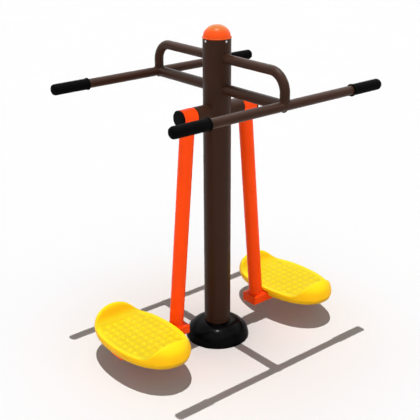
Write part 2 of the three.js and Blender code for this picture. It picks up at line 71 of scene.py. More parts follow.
column_low, column_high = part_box("column")
column_radius = column_high.x
cap_low, cap_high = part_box("column_cap")
cap_radius = cap_high.x
cover_low, cover_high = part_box("base_cover")
cover_radius = cover_high.x

bar_radius = half_span("front_handlebar", Z)
bar_height = middle("front_handlebar", Z)
bar_offset = -middle("front_handlebar", Y)
bar_half_length = half_span("front_handlebar", X)
loop_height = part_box("front_loop_tube")[1].z - bar_radius
crossbar_radius = half_span("front_crossbar", X)
grip_low, grip_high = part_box("front_right_grip")
grip_collar_radius = half_span("front_right_grip", Z)

axle_height = middle("axle_housing", Z)
housing_radius = half_span("axle_housing", Z)
housing_half_length = half_span("axle_housing", X)
seal_low, seal_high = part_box("right_seal_ring")
seal_radius = half_span("right_seal_ring", Z)
hub_low, hub_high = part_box("right_hub")
hub_radius = half_span("right_hub", Z)
hub_cap_low, hub_cap_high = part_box("right_hub_cap")

arm_radius = half_span("right_arm", Y)
arm_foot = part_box("right_arm")[0].z
inner_plate_low, inner_plate_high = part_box("right_inner_end_plate")
outer_plate_low, outer_plate_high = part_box("right_outer_end_plate")
foot_bar_low, foot_bar_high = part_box("right_foot_bar")
foot_bar_half_width = foot_bar_high.y
plate_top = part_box("right_board_plate")[1].z
board_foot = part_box("right_board")[0].z
board_centre = middle("right_board", X)
board_half_width = half_span("right_board", X)
board_half_length = half_span("right_board", Y)

# Sizes that the frame's boxes don't give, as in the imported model. The gap is what touching pieces keep.
GAP = 0.3 * MM
COLUMN_WALL = 4 * MM
TUBE_WALL = 2.5 * MM
LOOP_BEND_RADIUS = 75 * MM
HOUSING_WALL = 5 * MM
HUB_BORE_RADIUS = 26.3 * MM
ARM_WALL = 3 * MM
ARM_TOP_SHIFT = 5 * MM
FOOT_BAR_OVERHANG = 11.5 * MM
FOOT_BAR_WALL = 3 * MM
CAP_SEAT_HEIGHT = 0.3 * MM
CAP_SPIGOT_RADIUS = 52.7 * MM
CAP_WALL = 3 * MM
SCREW_DROP = 8 * MM

arm_top_x = (hub_low.x + hub_high.x) / 2 - ARM_TOP_SHIFT
arm_foot_x = inner_plate_low.x + arm_radius + FOOT_BAR_OVERHANG

# Smoothness. A point nearer to the axis than AXIS_REACH is a pole. Arcs are counted in degrees.
ROUND_SIDES = 96
TUBE_SIDES = 64
CORNER_STEPS = 5
BEND_STEPS = 40
DOME_STEPS = 24
AXIS_REACH = 0.03 * MM
SHARP_ANGLE = math.radians(40)
QUARTER = 90


# Mesh helpers. A shape is a pair: a list of points and a list of faces.

def rounded(corners):
    """A profile with round corners, from [across, up, rounding] corners in order."""
    points = []
    for index, (across, up, rounding) in enumerate(corners):
        here = Vector((across, up))
        if rounding == 0:
            points.append(here)
            continue
        back = (Vector(corners[index - 1][:2]) - here).normalized()
        ahead = (Vector(corners[(index + 1) % len(corners)][:2]) - here).normalized()
        half = back.angle(ahead) / 2
        centre = here + (back + ahead).normalized() * rounding / math.sin(half)
        first = here + back * rounding / math.tan(half) - centre
        last = here + ahead * rounding / math.tan(half) - centre
        turn = math.atan2(first.cross(last), first.dot(last))
        for step in range(CORNER_STEPS + 1):
            points.append(centre + Matrix.Rotation(turn * step / CORNER_STEPS, 2) @ first)
    return points


def arc(centre, reach, rise, start, end, steps):
    """Points of an elliptical arc, from one angle to another, in degrees."""
    angles = [math.radians(start + (end - start) * step / steps) for step in range(steps + 1)]
    return [Vector((centre[0] + reach * math.cos(a), centre[1] + rise * math.sin(a))) for a in angles]


def stitched(rings, closed):
    """Faces between rings of points, where a ring of one point is a pole."""
    points = [point for ring in rings for point in ring]
    starts = [0]
    for ring in rings:
        starts.append(starts[-1] + len(ring))
    pairs = list(zip(range(len(rings)), range(1, len(rings))))
    if closed:
        pairs.append((len(rings) - 1, 0))
    faces = []
    for one, two in pairs:
        sides = max(len(rings[one]), len(rings[two]))
        for side in range(sides):
            here = [starts[one] + side % len(rings[one]), starts[one] + (side + 1) % len(rings[one])]
            there = [starts[two] + (side + 1) % len(rings[two]), starts[two] + side % len(rings[two])]
            face = list(dict.fromkeys(here + there))
            if len(face) > 2:
                faces.append(face)
    return points, faces


def turned(profile, sides=ROUND_SIDES):
    """A body turned about Z. The profile ends on the axis or closes on itself."""
    rings = []
    for radius, height in profile:
        if radius < AXIS_REACH:
            rings.append([Vector((0, 0, height))])
            continue
        angles = [2 * math.pi * side / sides for side in range(sides)]
        rings.append([Vector((radius * math.cos(a), radius * math.sin(a), height)) for a in angles])
    return stitched(rings, closed=len(rings[0]) > 1)


def moved(shape, matrix):
    points, faces = shape
    return [matrix @ point for point in points], faces


def along_x(shape, height=0.0, offset=0.0):
    """A body turned about Z, laid along X at a height and an offset towards the front."""
    return moved(shape, Matrix.Translation((0, -offset, height)) @ Z_TO_X)


def joined(shapes):
    points, faces = [], []
    for some_points, some_faces in shapes:
        start = len(points)
        points.extend(some_points)
        faces.extend([[start + corner for corner in face] for face in some_faces])
    return points, faces


def round_ring(centre, direction, side, radius, sides=TUBE_SIDES):
    """A ring of points about a place on a tube's axis."""
    across = side.cross(direction)
    angles = [2 * math.pi * step / sides for step in range(sides)]
    return [centre + side * radius * math.cos(a) + across * radius * math.sin(a) for a in angles]


def tube(stations, side, radius, wall, start_cut, end_cut):
    """A hollow tube through [place, direction] stations, with its two ends cut to what they meet."""
    walls = []
    for shell_radius in (radius, radius - wall):
        rings = [round_ring(place, way, side, shell_radius) for place, way in stations]
        rings[0] = [start_cut(point, stations[0][1]) for point in rings[0]]
        rings[-1] = [end_cut(point, stations[-1][1]) for point in rings[-1]]
        walls.append(rings)
    return stitched(walls[0] + walls[1][::-1], closed=True)


def uncut(point, direction):
    return point


def cut_to(axis, level):
    """A cut that slides a tube's end along the tube until one coordinate has the level asked for."""
    def cut(point, direction):
        return point + direction * (level(point) - point[axis]) / direction[axis]
    return cut


def round_level(radius, across_axis, sign, centre=0, across_centre=0):
    """The level of a round tube's surface on one side of its centre, by how far across it a point lies."""
    def level(point):
        aside = point[across_axis] - across_centre
        return centre + sign * math.sqrt(max(radius ** 2 - aside ** 2, 0))
    return level


def bar_and_leg_level(point):
    """The handlebar's back, and above its middle the leg of the loop tube that stands on it."""
    bar = round_level(bar_radius, Z, 1, -bar_offset, bar_height)(point)
    leg = round_level(bar_radius, X, 1, -bar_offset)(point)
    return max(bar, leg) if point.z > bar_height else bar


onto_column_front = cut_to(Y, round_level(column_radius, X, -1))
onto_column_side = cut_to(X, round_level(column_radius, Y, 1))
onto_bar_back = cut_to(Y, bar_and_leg_level)
onto_bar_top = cut_to(Z, round_level(bar_radius, Y, 1, bar_height, -bar_offset))
onto_hub = cut_to(Z, round_level(hub_radius, Y, -1, axle_height))
onto_foot_bar = cut_to(Z, lambda point: arm_foot)


# Weld beads: a rippled bead round each tube where it meets the next
BEAD_RADIUS = 3.2 * MM
BEAD_RIPPLE = 2.6 * MM
BEAD_RIPPLE_SHARE = 0.13
BEAD_POINTS = 5
BEAD_SIDES = 10


def weld(place, direction, side, radius, cut):
    """A closed bead along the line where a tube's cut end meets the next tube."""
    ripples = round(2 * math.pi * radius / BEAD_RIPPLE)
    count = ripples * BEAD_POINTS
    ring = round_ring(place, direction, side, radius, count)
    path = [cut(point, direction) for point in ring]
    rings = []
    for index, point in enumerate(path):
        ahead = (path[(index + 1) % count] - path[index - 1]).normalized()
        outward = (ring[index] - place).normalized()
        swell = 1 + BEAD_RIPPLE_SHARE * math.sin(2 * math.pi * index / BEAD_POINTS)
        rings.append(round_ring(point, ahead, outward, BEAD_RADIUS * swell, BEAD_SIDES))
    return stitched(rings, closed=True)


# Finishes: every one is built from noise in the piece's own coordinates

# Between these two values lies most of a noise pattern
NOISE_LOW = 0.3
NOISE_HIGH = 0.7

# Noise patterns: cells a metre and levels of detail
PAINT_CLOUDS = (9, 4)
PAINT_STREAKS = (60, 3)
PAINT_PEEL = (420, 2)
PAINT_GRAIN = (2600, 1)
PLASTIC_FLOW = (7, 5)
PLASTIC_PATCHES = (35, 3)
RUBBER_BLOOM = (22, 4)
STEEL_STAINS = (30, 5)
STEEL_MARKS = (300, 3)
PLASTIC_FLOW_STRETCH = (1, 0.45, 1)
RUBBER_PEBBLES = 650

# Relief in the shading: its depth and its strength
PEEL_RELIEF = (0.25 * MM, 0.25)
PAINT_GRAIN_RELIEF = (0.05 * MM, 0.25)
PEBBLE_RELIEF = (0.2 * MM, 0.3)
TOOL_MARK_RELIEF = (0.1 * MM, 0.2)

# How far the roughness wanders below and above its middle
PAINT_SHINE = (-0.04, 0.04)
PLASTIC_SHINE = (-0.05, 0.05)
STEEL_SHINE = (-0.08, 0.1)

# The darkest and the lightest tint of a stained colour
RUBBER_TINTS = (0.8, 1.25)
STEEL_TINTS = (0.85, 1.1)

RUBBER_ROUGHNESS = (0.5, 0.62)
RUBBER_SPECULAR = 0.01
RAISED_HIGHLIGHT_MARK = "raised"

# Sockets of a Mix node that mixes colours
MIX_FACTOR = 0
MIX_FIRST = 6
MIX_SECOND = 7
MIX_RESULT = 2


class Graph:
    """A node tree whose nodes are added with their inputs named."""

    def __init__(self, tree):
        self.nodes = tree.nodes
        self.links = tree.links

    def feed(self, node, inputs):
        """Gives each named input its value, or the output of another node."""
        for name, value in inputs.items():
            if isinstance(value, bpy.types.NodeSocket):
                self.links.new(value, node.inputs[name])
            else:
                node.inputs[name].default_value = value

    def add(self, kind, inputs=None, **settings):
        node = self.nodes.new("ShaderNode" + kind)
        for name, value in settings.items():
            setattr(node, name, value)
        self.feed(node, inputs or {})
        return node.outputs


def new_material(name):
    """A material, its graph and its shader."""
    made = bpy.data.materials.new(name)
    made.use_nodes = True
    return made, Graph(made.node_tree), made.node_tree.nodes["Principled BSDF"]


def tinted(colour, factor=1):
    return [min(channel * factor, 1.0) for channel in colour] + [1.0]


def noise_at(graph, scale, detail, stretch=(1, 1, 1)):
    """A noise pattern in object coordinates, counted in cells a metre."""
    place = graph.add("TexCoord")["Object"]
    stretched = graph.add("Mapping", {"Vector": place, "Scale": stretch})["Vector"]
    return graph.add("TexNoise", {"Vector": stretched, "Scale": scale, "Detail": detail})["Fac"]


def ranged(graph, pattern, low, high):
    """A noise pattern spread over a range."""
    return graph.add("MapRange", {
        "Value": pattern,
        "From Min": NOISE_LOW,
        "From Max": NOISE_HIGH,
        "To Min": low,
        "To Max": high,
    })["Result"]


def wandering(graph, pattern, middle_value, spread):
    """A value that a noise pattern takes below and above its middle."""
    return ranged(graph, pattern, middle_value + spread[0], middle_value + spread[1])


def coloured(graph, value, stops):
    """A colour picked by a value from 0 to 1, blended between [value, colour] stops."""
    ramp = graph.nodes.new("ShaderNodeValToRGB")
    elements = ramp.color_ramp.elements
    elements[0].position, elements[0].color = stops[0]
    elements[1].position, elements[1].color = stops[-1]
    for position, colour in stops[1:-1]:
        elements.new(position).color = colour
    graph.feed(ramp, {"Fac": value})
    return ramp.outputs["Color"]


def stained(graph, pattern, colour, tints):
    """A colour that a noise pattern makes darker and lighter."""
    stops = [(NOISE_LOW, tinted(colour, tints[0])), (NOISE_HIGH, tinted(colour, tints[1]))]
    return coloured(graph, pattern, stops)


def faced(graph, tones):
    """A colour picked by the way a surface faces at rest: -1 is down, 0 is upright and 1 is up."""
    facing = graph.add("SeparateXYZ", {"Vector": graph.add("TexCoord")["Normal"]})["Z"]
    share = graph.add("MapRange", {"Value": facing, "From Min": -1})["Result"]
    return coloured(graph, share, [((way + 1) / 2, tinted(colour)) for way, colour in tones])


def clouded(graph, colour, pattern, share):
    """A colour made a little lighter and darker by a noise pattern."""
    factor = ranged(graph, pattern, 1 - share, 1 + share)
    return graph.add("VectorMath", {"Vector": colour, "Scale": factor}, operation="SCALE")["Vector"]


def marked(graph, colour, highlight_colour):
    """A colour that goes over to a painted highlight where the mesh's raised mark says so."""
    mark = graph.add("Attribute", attribute_name=RAISED_HIGHLIGHT_MARK)["Fac"]
    inputs = {MIX_FACTOR: mark, MIX_FIRST: colour, MIX_SECOND: highlight_colour}
    return graph.add("Mix", inputs, data_type="RGBA")[MIX_RESULT]


def bumped(graph, height, relief, under=None):
    depth, strength = relief
    inputs = {"Height": height, "Distance": depth, "Strength": strength}
    if under is not None:
        inputs["Normal"] = under
    return graph.add("Bump", inputs)["Normal"]


def powder_coat(name, tones, roughness, specular, tint_share):
    """Powder coat: a soft orange peel, slight cloudiness and a roughness that wanders."""
    made, graph, shader = new_material(name)
    clouds = noise_at(graph, *PAINT_CLOUDS)
    streaks = noise_at(graph, *PAINT_STREAKS)
    peel = bumped(graph, noise_at(graph, *PAINT_PEEL), PEEL_RELIEF)
    graph.feed(shader, {
        "Base Color": clouded(graph, faced(graph, tones), clouds, tint_share),
        "Roughness": wandering(graph, streaks, roughness, PAINT_SHINE),
        "Normal": bumped(graph, noise_at(graph, *PAINT_GRAIN), PAINT_GRAIN_RELIEF, peel),
        "Specular IOR Level": specular,
    })
    return made


def moulded_plastic(name, tones, roughness, specular, tint_share, grain, relief, highlight_tones=None):
    """Moulded plastic: flow clouds in the colour, a fine spark-eroded grain and a shine that varies."""
    made, graph, shader = new_material(name)
    flow = noise_at(graph, *PLASTIC_FLOW, PLASTIC_FLOW_STRETCH)
    patches = noise_at(graph, *PLASTIC_PATCHES)
    colour = faced(graph, tones)
    if highlight_tones is not None:
        colour = marked(graph, colour, faced(graph, highlight_tones))
    graph.feed(shader, {
        "Base Color": clouded(graph, colour, flow, tint_share),
        "Roughness": wandering(graph, patches, roughness, PLASTIC_SHINE),
        "Normal": bumped(graph, noise_at(graph, *grain), relief),
        "Specular IOR Level": specular,
    })
    return made


def soft_rubber(name, colour):
    """Rubber: a matt skin with a fine pebble of small cells and slight bloom."""
    made, graph, shader = new_material(name)
    bloom = noise_at(graph, *RUBBER_BLOOM)
    place = graph.add("TexCoord")["Object"]
    pebbles = graph.add("TexVoronoi", {"Vector": place, "Scale": RUBBER_PEBBLES})["Distance"]
    graph.feed(shader, {
        "Base Color": stained(graph, bloom, colour, RUBBER_TINTS),
        "Roughness": ranged(graph, bloom, *RUBBER_ROUGHNESS),
        "Normal": bumped(graph, pebbles, PEBBLE_RELIEF),
        "Specular IOR Level": RUBBER_SPECULAR,
    })
    return made


def turned_steel(name, colour, roughness, stretch):
    """Steel: fine tool marks drawn out along one way, over faint stains."""
    made, graph, shader = new_material(name)
    stains = noise_at(graph, *STEEL_STAINS)
    marks = noise_at(graph, *STEEL_MARKS, stretch)
    graph.feed(shader, {
        "Base Color": stained(graph, stains, colour, STEEL_TINTS),
        "Roughness": wandering(graph, marks, roughness, STEEL_SHINE),
        "Normal": bumped(graph, marks, TOOL_MARK_RELIEF),
        "Metallic": 1.0,
    })
    return made


BROWN = (0.034, 0.0119, 0.0050)
ORANGE = (0.98, 0.066, 0.003)
# Painted shade: a darker orange for what faces down
ORANGE_UNDER_SHADE = (0.40, 0.028, 0.002)
CAP_ORANGE = (0.88, 0.082, 0.003)
# Painted highlight: a paler, yellower orange on the top of the cap
CAP_TOP_HIGHLIGHT = (0.65, 0.155, 0.004)
# Painted highlight: the pale yellow of the boards' studs, border and lip crests
LEMON_HIGHLIGHT = (0.98, 0.81, 0.010)
# The deck's yellow, darkened as painted shade in the hollows between the studs
GOLD_HOLLOW_SHADE = (0.84, 0.62, 0.008)
# Painted shade: the deeper orange of the boards' upright sides
AMBER_SIDE_SHADE = (0.96, 0.52, 0.006)
# Painted shade: a dark amber for what faces down under the boards
AMBER_UNDER_SHADE = (0.24, 0.14, 0.012)
BLACK = (0.0025, 0.0025, 0.0026)
STEEL = (0.45, 0.46, 0.48)
ZINC = (0.58, 0.60, 0.62)

# Tones by the way a surface faces: painted shade darkens what faces down and the boards' upright sides, and
# a painted highlight lightens the top of the cap and the raised places on the boards
BROWN_TONES = [(-1, BROWN), (1, BROWN)]
ORANGE_WITH_UNDER_SHADE_TONES = [(-0.9, ORANGE_UNDER_SHADE), (-0.5, ORANGE), (1, ORANGE)]
CAP_WITH_TOP_HIGHLIGHT_TONES = [(-1, CAP_ORANGE), (0.56, CAP_ORANGE), (0.86, CAP_TOP_HIGHLIGHT), (1, CAP_TOP_HIGHLIGHT)]
YELLOW_WITH_LIGHT_AND_SHADE_TONES = [(-0.6, AMBER_UNDER_SHADE), (-0.1, AMBER_SIDE_SHADE), (0.35, AMBER_SIDE_SHADE), (0.85, GOLD_HOLLOW_SHADE), (1, GOLD_HOLLOW_SHADE)]
RAISED_HIGHLIGHT_TONES = [(-0.6, AMBER_UNDER_SHADE), (-0.1, AMBER_SIDE_SHADE), (0.35, AMBER_SIDE_SHADE), (0.85, LEMON_HIGHLIGHT), (1, LEMON_HIGHLIGHT)]
BLACK_TONES = [(-1, BLACK), (1, BLACK)]

FINISHES = {
    "brown_paint": powder_coat(
        "brown_powder_coat", BROWN_TONES, roughness=0.40, specular=0.11, tint_share=0.07),
    "orange_paint": powder_coat(
        "orange_powder_coat", ORANGE_WITH_UNDER_SHADE_TONES, roughness=0.32, specular=0.06, tint_share=0.04),
    "orange_plastic": moulded_plastic(
        "orange_plastic", CAP_WITH_TOP_HIGHLIGHT_TONES, roughness=0.30, specular=0.13, tint_share=0.04,
        grain=(1500, 2), relief=(0.04 * MM, 0.35)),
    "yellow_plastic": moulded_plastic(
        "yellow_plastic", YELLOW_WITH_LIGHT_AND_SHADE_TONES, roughness=0.42, specular=0.05, tint_share=0.04,
        grain=(900, 2), relief=(0.12 * MM, 0.35), highlight_tones=RAISED_HIGHLIGHT_TONES),
    "black_plastic": moulded_plastic(
        "black_plastic", BLACK_TONES, roughness=0.2, specular=0.02, tint_share=0.25,
        grain=(1200, 2), relief=(0.06 * MM, 0.35)),
    "black_rubber": soft_rubber("black_rubber", BLACK),
    "bare_steel": turned_steel("bare_steel", STEEL, roughness=0.34, stretch=(6, 1, 1)),
    "zinc_steel": turned_steel("zinc_steel", ZINC, roughness=0.4, stretch=(1, 1, 5)),
}


def piece(name, shape, slot, body, replaced=(), placed=AS_BUILT, marks=None):
    """Makes a shape an object with its finish, its body and the nodes that it stands for."""
    points, faces = moved(shape, placed)
    mesh = bpy.data.meshes.new(name)
    mesh.from_pydata(points, [], faces)
    shell = bmesh.new()
    shell.from_mesh(mesh)
    bmesh.ops.recalc_face_normals(shell, faces=shell.faces)
    shell.to_mesh(mesh)
    shell.free()
    mesh.shade_smooth()
    mesh.set_sharp_from_angle(angle=SHARP_ANGLE)
    mesh.materials.append(FINISHES[slot])
    if marks is not None:
        mesh.attributes.new(RAISED_HIGHLIGHT_MARK, "FLOAT", "POINT").data.foreach_set("value", marks)
    made = bpy.data.objects.new(name, mesh)
    scene.collection.objects.link(made)
    weighting = made.modifiers.new("face_weighted_normals", "WEIGHTED_NORMAL")
    weighting.keep_sharp = True
    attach(made, body)
    if replaced:
        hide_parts(*replaced)
    return made


# Column, its cap with four screws, and the base cover

TOP_ROUNDING = 1.2 * MM
CAP_BRIM = 4 * MM
CAP_STEP = 4 * MM
BRIM_ROUNDING = 1.6 * MM
SCREW_HEAD_RADIUS = 4.5 * MM
SCREW_HEAD_HEIGHT = 3 * MM
SCREW_HEAD_ARC = 68
SCREW_SHANK_RADIUS = 3 * MM
SCREW_SHANK_LENGTH = 11 * MM
SCREW_SOCKET_RADIUS = 2 * MM
SCREW_SOCKET_DEPTH = 1.8 * MM
SCREW_SIDES = 36
SCREW_COUNT = 4
COVER_WALL = 3 * MM
COVER_FOOT = 5 * MM
COVER_EXPONENT = 1.8
COVER_LIP_ROUNDING = 1.2 * MM


def column_shape():
    inner = column_radius - COLUMN_WALL
    return turned(rounded([
        (column_radius, column_low.z, 0),
        (column_radius, column_high.z, TOP_ROUNDING),
        (inner, column_high.z, TOP_ROUNDING),
        (inner, column_low.z, 0),
    ]))


def cap_shape():
    """A dome on a rounded brim, with a spigot down into the column."""
    seat = column_high.z + CAP_SEAT_HEIGHT
    brim_top = seat + CAP_BRIM
    dome_radius = cap_radius - CAP_STEP
    inner_radius = CAP_SPIGOT_RADIUS - CAP_WALL
    rise = cap_high.z - brim_top
    dome = arc((0, brim_top), dome_radius, rise, QUARTER, 0, DOME_STEPS)
    inside = arc((0, brim_top), inner_radius, rise - CAP_WALL, 0, QUARTER, DOME_STEPS)
    brim = rounded([
        (dome_radius, brim_top, 0),
        (cap_radius, brim_top, BRIM_ROUNDING),
        (cap_radius, seat, BRIM_ROUNDING),
        (CAP_SPIGOT_RADIUS, seat, 0),
        (CAP_SPIGOT_RADIUS, cap_low.z, 0),
        (inner_radius, cap_low.z, 0),
    ])
    return turned(dome + brim + inside)


def screw_shape():
    """A round-headed screw with a socket, its head on the wall and its shank inwards, along +X."""
    head = arc((0, 0), SCREW_HEAD_RADIUS, SCREW_HEAD_HEIGHT, SCREW_HEAD_ARC, 0, CORNER_STEPS)
    floor = SCREW_HEAD_HEIGHT - SCREW_SOCKET_DEPTH
    profile = [Vector((0, floor)), Vector((SCREW_SOCKET_RADIUS, floor)), *head]
    profile += [
        Vector((SCREW_SHANK_RADIUS, 0)),
        Vector((SCREW_SHANK_RADIUS, -SCREW_SHANK_LENGTH)),
        Vector((0, -SCREW_SHANK_LENGTH)),
    ]
    seat = Matrix.Translation((column_radius + GAP, 0, column_high.z - SCREW_DROP))
    return moved(turned(profile, SCREW_SIDES), seat @ Z_TO_X)


def cover_shoulder(foot_radius, top):
    """A quarter of a superellipse, from the cover's foot up to the column."""
    neck = column_radius + GAP
    points = []
    for step in range(DOME_STEPS + 1):
        angle = math.pi / 2 * step / DOME_STEPS
        outwards = math.cos(angle) ** (2 / COVER_EXPONENT)
        upwards = math.sin(angle) ** (2 / COVER_EXPONENT)
        radius = neck + (foot_radius - neck) * outwards
        points.append(Vector((radius, COVER_FOOT + (top - COVER_FOOT) * upwards)))
    return points


def cover_shape():
    """A thin domed ring from the ground up to the column."""
    outside = cover_shoulder(cover_radius, cover_high.z)
    inside = cover_shoulder(cover_radius - COVER_WALL, cover_high.z - COVER_WALL)[::-1]
    foot = rounded([
        (cover_radius - COVER_WALL, COVER_FOOT, 0),
        (cover_radius - COVER_WALL, cover_low.z, COVER_LIP_ROUNDING),
        (cover_radius, cover_low.z, COVER_LIP_ROUNDING),
        (cover_radius, COVER_FOOT, 0),
    ])
    return turned(outside[1:] + inside[:-1] + foot)


piece("column_tube", column_shape(), "brown_paint", "stand", ["column"])
piece("cap_dome", cap_shape(), "orange_plastic", "stand", ["column_cap"])
piece("base_ring_cover", cover_shape(), "black_plastic", "stand", ["base_cover"])
for index in range(SCREW_COUNT):
    around = Matrix.Rotation(2 * math.pi * index / SCREW_COUNT, 4, "Z")
    name = f"cap_button_screw_{index + 1}"
    piece(name, screw_shape(), "zinc_steel", "stand", [f"cap_screw_{index + 1}"], around)


# Handlebars: straight tube, loop tube, crossbar, two grips and the welds between them

GRIP_WALL = 3.2 * MM
GRIP_END_WALL = 5 * MM
GRIP_END_ROUNDING = 15 * MM
GRIP_COLLAR_WIDTH = 5 * MM
GRIP_COLLAR_ROUNDING = 1.6 * MM
GRIP_STEPS = 14


def bar_shape():
    ends = [(Vector((-bar_half_length, 0, 0)), X_AXIS), (Vector((bar_half_length, 0, 0)), X_AXIS)]
    shape = tube(ends, Y_AXIS, bar_radius, TUBE_WALL, uncut, uncut)
    return moved(shape, Matrix.Translation((0, -bar_offset, bar_height)))


def loop_stations():
    """Level from the column, round the bend and down to the handlebar, in the plane X = 0."""
    bend_y = bar_offset - LOOP_BEND_RADIUS
    bend_z = loop_height - LOOP_BEND_RADIUS
    stations = [(Vector((0, 0, loop_height)), -Y_AXIS)]
    for step in range(BEND_STEPS + 1):
        angle = math.pi / 2 * step / BEND_STEPS
        across = bend_y + LOOP_BEND_RADIUS * math.sin(angle)
        place = Vector((0, -across, bend_z + LOOP_BEND_RADIUS * math.cos(angle)))
        stations.append((place, Vector((0, -math.cos(angle), -math.sin(angle)))))
    stations.append((Vector((0, -bar_offset, bar_height)), -Z_AXIS))
    return stations


def loop_shape():
    return tube(loop_stations(), X_AXIS, bar_radius, TUBE_WALL, onto_column_front, onto_bar_top)


def crossbar_shape():
    start = Vector((0, 0, bar_height))
    ends = [(start, -Y_AXIS), (start - Y_AXIS * bar_offset, -Y_AXIS)]
    return tube(ends, X_AXIS, crossbar_radius, TUBE_WALL, onto_column_front, onto_bar_back)


def grip_shape():
    """A closed rubber sleeve with a collar and a round end, over the right end of a handlebar."""
    inner = bar_radius + GAP
    radius = inner + GRIP_WALL
    start, tip = grip_low.x, grip_high.x
    end_centre = (radius - GRIP_END_ROUNDING, tip - GRIP_END_ROUNDING)
    end = arc(end_centre, GRIP_END_ROUNDING, GRIP_END_ROUNDING, 0, QUARTER, GRIP_STEPS)
    collar = rounded([
        (0, tip - GRIP_END_WALL, 0),
        (inner, tip - GRIP_END_WALL, 0),
        (inner, start, GRIP_COLLAR_ROUNDING / 2),
        (grip_collar_radius, start, GRIP_COLLAR_ROUNDING),
        (grip_collar_radius, start + GRIP_COLLAR_WIDTH, GRIP_COLLAR_ROUNDING),
        (radius, start + GRIP_COLLAR_WIDTH, GRIP_COLLAR_ROUNDING / 2),
        (radius, tip, 0),
    ])
    return along_x(turned(collar[:-1] + end + [Vector((0, tip))], TUBE_SIDES), bar_height, bar_offset)


def mirrored_grip():
    """The same grip at the left end of the same handlebar."""
    about_bar = Matrix.Translation((0, -bar_offset, 0))
    return moved(grip_shape(), about_bar @ HALF_TURN @ about_bar.inverted())


def handlebar_welds():
    level = Vector((0, 0, loop_height))
    cross = Vector((0, 0, bar_height))
    above = Vector((0, -bar_offset, bar_height))
    return joined([
        weld(level, -Y_AXIS, X_AXIS, bar_radius, onto_column_front),
        weld(cross, -Y_AXIS, X_AXIS, crossbar_radius, onto_column_front),
        weld(cross, -Y_AXIS, X_AXIS, crossbar_radius, onto_bar_back),
        weld(above, -Z_AXIS, X_AXIS, bar_radius, onto_bar_top),
    ])


for end, first_side, second_side, placed in (
    ("front", "right", "left", AS_BUILT),
    ("back", "left", "right", HALF_TURN),
):
    piece(f"{end}_bar", bar_shape(), "brown_paint", "stand", [f"{end}_handlebar"], placed)
    piece(f"{end}_loop", loop_shape(), "brown_paint", "stand", [f"{end}_loop_tube"], placed)
    piece(f"{end}_cross", crossbar_shape(), "brown_paint", "stand", [f"{end}_crossbar"], placed)
    piece(f"{end}_welds", handlebar_welds(), "brown_paint", "stand", placed=placed)
    first_node = f"{end}_{first_side}_grip"
    piece(f"{first_node}_sleeve", grip_shape(), "black_rubber", "stand", [first_node], placed)
    second_node = f"{end}_{second_side}_grip"
    piece(f"{second_node}_sleeve", mirrored_grip(), "black_rubber", "stand", [second_node], placed)


# Axle housing, seal rings, hubs and hub caps

HOUSING_ROUNDING = 1 * MM
SEAL_ROUNDING = 0.7 * MM
SHAFT_RADIUS = 15 * MM
HUB_ROUNDING = 1 * MM
HUB_WEB_RADIUS = 23 * MM
HUB_WEB_START = 17.3 * MM
HUB_WEB_END = 35.7 * MM
HUB_CAP_FACE = 10 * MM
HUB_CAP_PLUG_WALL = 2.5 * MM
HUB_CAP_PLUG_RADIUS = 26 * MM
HUB_CAP_CROWN = 1.5 * MM
HUB_CAP_ROUNDING = 3 * MM


def housing_shape():
    inner = housing_radius - HOUSING_WALL
    half = housing_half_length
    profile = rounded([
        (housing_radius, -half, HOUSING_ROUNDING),
        (housing_radius, half, HOUSING_ROUNDING),
        (inner, half, HOUSING_ROUNDING),
        (inner, -half, HOUSING_ROUNDING),
    ])
    return along_x(turned(profile), axle_height)


def housing_welds():
    centre = Vector((0, 0, axle_height))
    right = weld(centre, X_AXIS, Y_AXIS, housing_radius, onto_column_side)
    return joined([right, moved(right, HALF_TURN)])


def seal_shape():
    inner = SHAFT_RADIUS + GAP
    return along_x(turned(rounded([
        (seal_radius, seal_low.x, SEAL_ROUNDING),
        (seal_radius, seal_high.x, SEAL_ROUNDING),
        (inner, seal_high.x, 0),
        (inner, seal_low.x, 0),
    ])), axle_height)


def hub_shape():
    """A tube bored from both ends for the bearings, with a web between them."""
    web_start = hub_low.x + HUB_WEB_START
    web_end = hub_low.x + HUB_WEB_END
    return along_x(turned(rounded([
        (hub_radius, hub_low.x, HUB_ROUNDING),
        (hub_radius, hub_high.x, HUB_ROUNDING),
        (HUB_BORE_RADIUS, hub_high.x, 0),
        (HUB_BORE_RADIUS, web_end, 0),
        (HUB_WEB_RADIUS, web_end, 0),
        (HUB_WEB_RADIUS, web_start, 0),
        (HUB_BORE_RADIUS, web_start, 0),
        (HUB_BORE_RADIUS, hub_low.x, 0),
    ])), axle_height)


def hub_cap_shape():
    """A plug-in plastic disc with a slightly crowned face."""
    seat = hub_cap_high.x - HUB_CAP_FACE
    face = hub_cap_high.x
    plug_inner = HUB_CAP_PLUG_RADIUS - HUB_CAP_PLUG_WALL
    corners = rounded([
        (0, seat, 0),
        (plug_inner, seat, 0),
        (plug_inner, hub_cap_low.x, 0),
        (HUB_CAP_PLUG_RADIUS, hub_cap_low.x, 0),
        (HUB_CAP_PLUG_RADIUS, seat, 0),
        (hub_radius, seat, 0),
        (hub_radius, face - HUB_CAP_CROWN, HUB_CAP_ROUNDING),
        (0, face, 0),
    ])
    return along_x(turned(corners), axle_height)


piece("housing_tube", housing_shape(), "brown_paint", "stand", ["axle_housing"])
piece("housing_welds", housing_welds(), "brown_paint", "stand")


# Arms and foot bars

FOOT_BAR_ROUNDING = 5 * MM
PLATE_ROUNDING = 1.2 * MM
PLATE_EASE_SHARE = 0.3


def arm_way():
    return Vector((arm_foot_x - arm_top_x, 0, arm_foot - axle_height)).normalized()


def arm_shape():
    way = arm_way()
    top = Vector((arm_top_x, 0, axle_height))
    foot = Vector((arm_foot_x, 0, arm_foot))
    return tube([(top, way), (foot, way)], Y_AXIS, arm_radius, ARM_WALL, onto_hub, onto_foot_bar)


